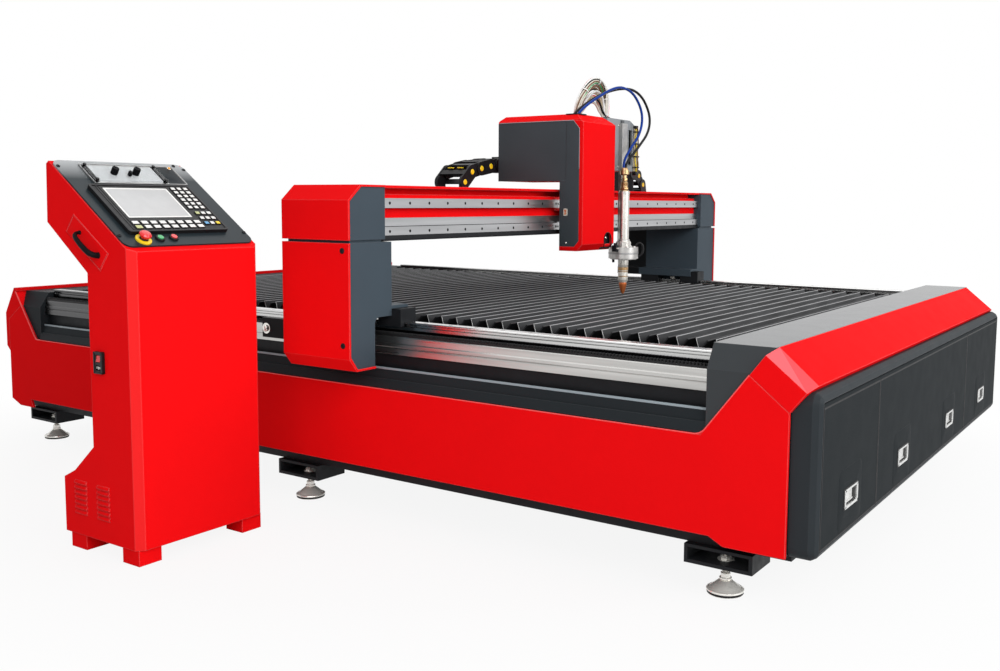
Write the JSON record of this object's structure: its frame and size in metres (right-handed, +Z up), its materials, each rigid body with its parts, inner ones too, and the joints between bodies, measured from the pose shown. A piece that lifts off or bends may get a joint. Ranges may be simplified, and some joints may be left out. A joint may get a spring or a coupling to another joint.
{
  "type": "plasma cutting table",
  "caption": "Gantry plasma cutting table with a folded slat bed, a torch carriage on a powered beam, drop-front flaps and a free-standing control console",
  "frame": {"origin": "centre of the bounding box at floor level", "axes": "+X along the table towards the flaps, +Y across the table away from the console, +Z up"},
  "size_m": [4.307, 4.007, 1.859],
  "materials": {
    "red_paint": "glossy red paint",
    "slate_paint": "satin dark slate paint",
    "grey_paint": "satin mid grey paint",
    "rail_steel": "ground steel",
    "bright_metal": "machined bright aluminium",
    "slat_steel": "dark scaled sheet steel with bright edges",
    "black_plastic": "matte black",
    "motor_black": "matte black",
    "copper": "copper",
    "clear_plate": "grey plate with a clear cover",
    "red_plastic": "glossy red",
    "green_plastic": "glossy green",
    "blue_rubber": "satin blue",
    "black_rubber": "satin black",
    "wire_sheath": "pale sheath"
  },
  "bodies": {
    "table": {"base_frame": "slate_paint", "side_panels": "red_paint", "side_skins": "slate_paint", "guide_bars": "rail_steel", "racks": "rail_steel", "linear_rails": "rail_steel", "front_nose": "red_paint", "rear_nose": "red_paint", "front_deck": "slate_paint", "rear_deck": "slate_paint", "door_frame": "slate_paint", "foot_brackets": "slate_paint", "levelling_feet": "rail_steel", "slats": "slat_steel", "slat_supports": "slat_steel", "console_cabinet": "red_paint", "control_panel": "slate_paint", "controller": "black_plastic", "height_unit": "clear_plate", "console_handle": "black_plastic", "power_inlet": "black_plastic"},
    "left_flap": {"left_flap": "slate_paint"},
    "centre_flap": {"centre_flap": "slate_paint"},
    "right_flap": {"right_flap": "slate_paint"},
    "latch_1": {"latch_1": "bright_metal"},
    "latch_2": {"latch_2": "bright_metal"},
    "latch_3": {"latch_3": "bright_metal"},
    "latch_4": {"latch_4": "bright_metal"},
    "gantry": {"leg_cores": "grey_paint", "leg_covers": "red_paint", "beam": "red_paint", "beam_rails": "rail_steel", "chain_tray": "black_plastic", "bearing_blocks": "slate_paint", "drive_motors": "motor_black"},
    "near_pinion": {"near_pinion": "rail_steel"},
    "far_pinion": {"far_pinion": "rail_steel"},
    "carriage": {"carriage_shell": "red_paint", "carriage_sides": "slate_paint", "carriage_plate": "bright_metal", "carriage_motor": "motor_black", "lifter_box": "grey_paint", "lifter_rail": "rail_steel", "drag_chain": "black_plastic", "wire_loop": "wire_sheath"},
    "carriage_pinion": {"carriage_pinion": "rail_steel"},
    "torch": {"torch_slide": "bright_metal", "torch_holder": "bright_metal", "torch_body": "bright_metal", "torch_tip": "copper", "blue_hose": "blue_rubber", "black_hose": "black_rubber"},
    "stop_head": {"stop_head": "red_plastic"},
    "start_button": {"start_button": "green_plastic"},
    "stop_button": {"stop_button": "red_plastic"},
    "left_knob": {"left_knob": "black_plastic"},
    "right_knob": {"right_knob": "black_plastic"},
    "middle_knob": {"middle_knob": "black_plastic"},
    "power_rocker": {"power_rocker": "red_plastic"}
  },
  "joints": [
    {"name": "gantry_run", "type": "slide", "parent": "table", "child": "gantry", "axis": [1, 0, 0], "range_m": [-1.85, 1.12]},
    {"name": "carriage_run", "type": "slide", "parent": "gantry", "child": "carriage", "axis": [0, 1, 0], "range_m": [-1.05, 0.93]},
    {"name": "torch_lift", "type": "slide", "parent": "carriage", "child": "torch", "axis": [0, 0, 1], "range_m": [-0.006, 0.11], "deforming": ["blue_hose", "black_hose"]},
    {"name": "near_pinion_turn", "type": "hinge", "parent": "gantry", "child": "near_pinion", "pos_m": [0.293, -1.1105, 0.765], "axis": [0, 1, 0], "range_deg": [-4420, 2680]},
    {"name": "far_pinion_turn", "type": "hinge", "parent": "gantry", "child": "far_pinion", "pos_m": [0.293, 1.8295, 0.765], "axis": [0, 1, 0], "range_deg": [-4420, 2680]},
    {"name": "carriage_pinion_turn", "type": "hinge", "parent": "carriage", "child": "carriage_pinion", "pos_m": [0.4145, 0.3095, 1.07425], "axis": [1, 0, 0], "range_deg": [-2870, 2540]},
    {"name": "left_flap_hinge", "type": "hinge", "parent": "table", "child": "left_flap", "pos_m": [2.1415, -0.7575, 0.649], "axis": [0, -1, 0], "range_deg": [0, 80]},
    {"name": "centre_flap_hinge", "type": "hinge", "parent": "table", "child": "centre_flap", "pos_m": [2.1415, 0.2845, 0.649], "axis": [0, -1, 0], "range_deg": [0, 80]},
    {"name": "right_flap_hinge", "type": "hinge", "parent": "table", "child": "right_flap", "pos_m": [2.1415, 1.4015, 0.649], "axis": [0, -1, 0], "range_deg": [0, 80]},
    {"name": "latch_1_pull", "type": "hinge", "parent": "left_flap", "child": "latch_1", "pos_m": [2.1435, -0.7655, 0.343], "axis": [0, -1, 0], "range_deg": [0, 40]},
    {"name": "latch_2_pull", "type": "hinge", "parent": "centre_flap", "child": "latch_2", "pos_m": [2.1435, -0.1125, 0.343], "axis": [0, -1, 0], "range_deg": [0, 40]},
    {"name": "latch_3_pull", "type": "hinge", "parent": "centre_flap", "child": "latch_3", "pos_m": [2.1435, 0.6815, 0.343], "axis": [0, -1, 0], "range_deg": [0, 40]},
    {"name": "latch_4_pull", "type": "hinge", "parent": "right_flap", "child": "latch_4", "pos_m": [2.1435, 1.3895, 0.343], "axis": [0, -1, 0], "range_deg": [0, 40]},
    {"name": "stop_head_press", "type": "slide", "parent": "table", "child": "stop_head", "axis": [-0.5693, 0, -0.8221], "range_m": [0, 0.004]},
    {"name": "start_press", "type": "slide", "parent": "table", "child": "start_button", "axis": [-0.5693, 0, -0.8221], "range_m": [0, 0.0035], "stiffness_N_per_m": 400, "springref_m": -0.002},
    {"name": "stop_press", "type": "slide", "parent": "table", "child": "stop_button", "axis": [-0.5693, 0, -0.8221], "range_m": [0, 0.0035], "stiffness_N_per_m": 400, "springref_m": -0.002},
    {"name": "left_knob_turn", "type": "hinge", "parent": "table", "child": "left_knob", "pos_m": [-0.2337, -1.7575, 1.34282], "axis": [0.5693, 0, 0.8221], "range_deg": [-135, 135]},
    {"name": "right_knob_turn", "type": "hinge", "parent": "table", "child": "right_knob", "pos_m": [-0.2337, -1.6675, 1.34282], "axis": [0.5693, 0, 0.8221], "range_deg": [-135, 135]},
    {"name": "middle_knob_turn", "type": "hinge", "parent": "table", "child": "middle_knob", "pos_m": [-0.22548, -1.6985, 1.33712], "axis": [0.5693, 0, 0.8221], "range_deg": [-45, 45]},
    {"name": "power_rock", "type": "hinge", "parent": "table", "child": "power_rocker", "pos_m": [-0.0535, -1.9645, 0.703], "axis": [1, 0, 0], "range_deg": [0, 14]}
  ],
  "couplings": [
    {"joint": "near_pinion_turn", "follows": "gantry_run", "rad_per_m": 41.667},
    {"joint": "far_pinion_turn", "follows": "gantry_run", "rad_per_m": 41.667},
    {"joint": "carriage_pinion_turn", "follows": "carriage_run", "rad_per_m": 47.619}
  ]
}
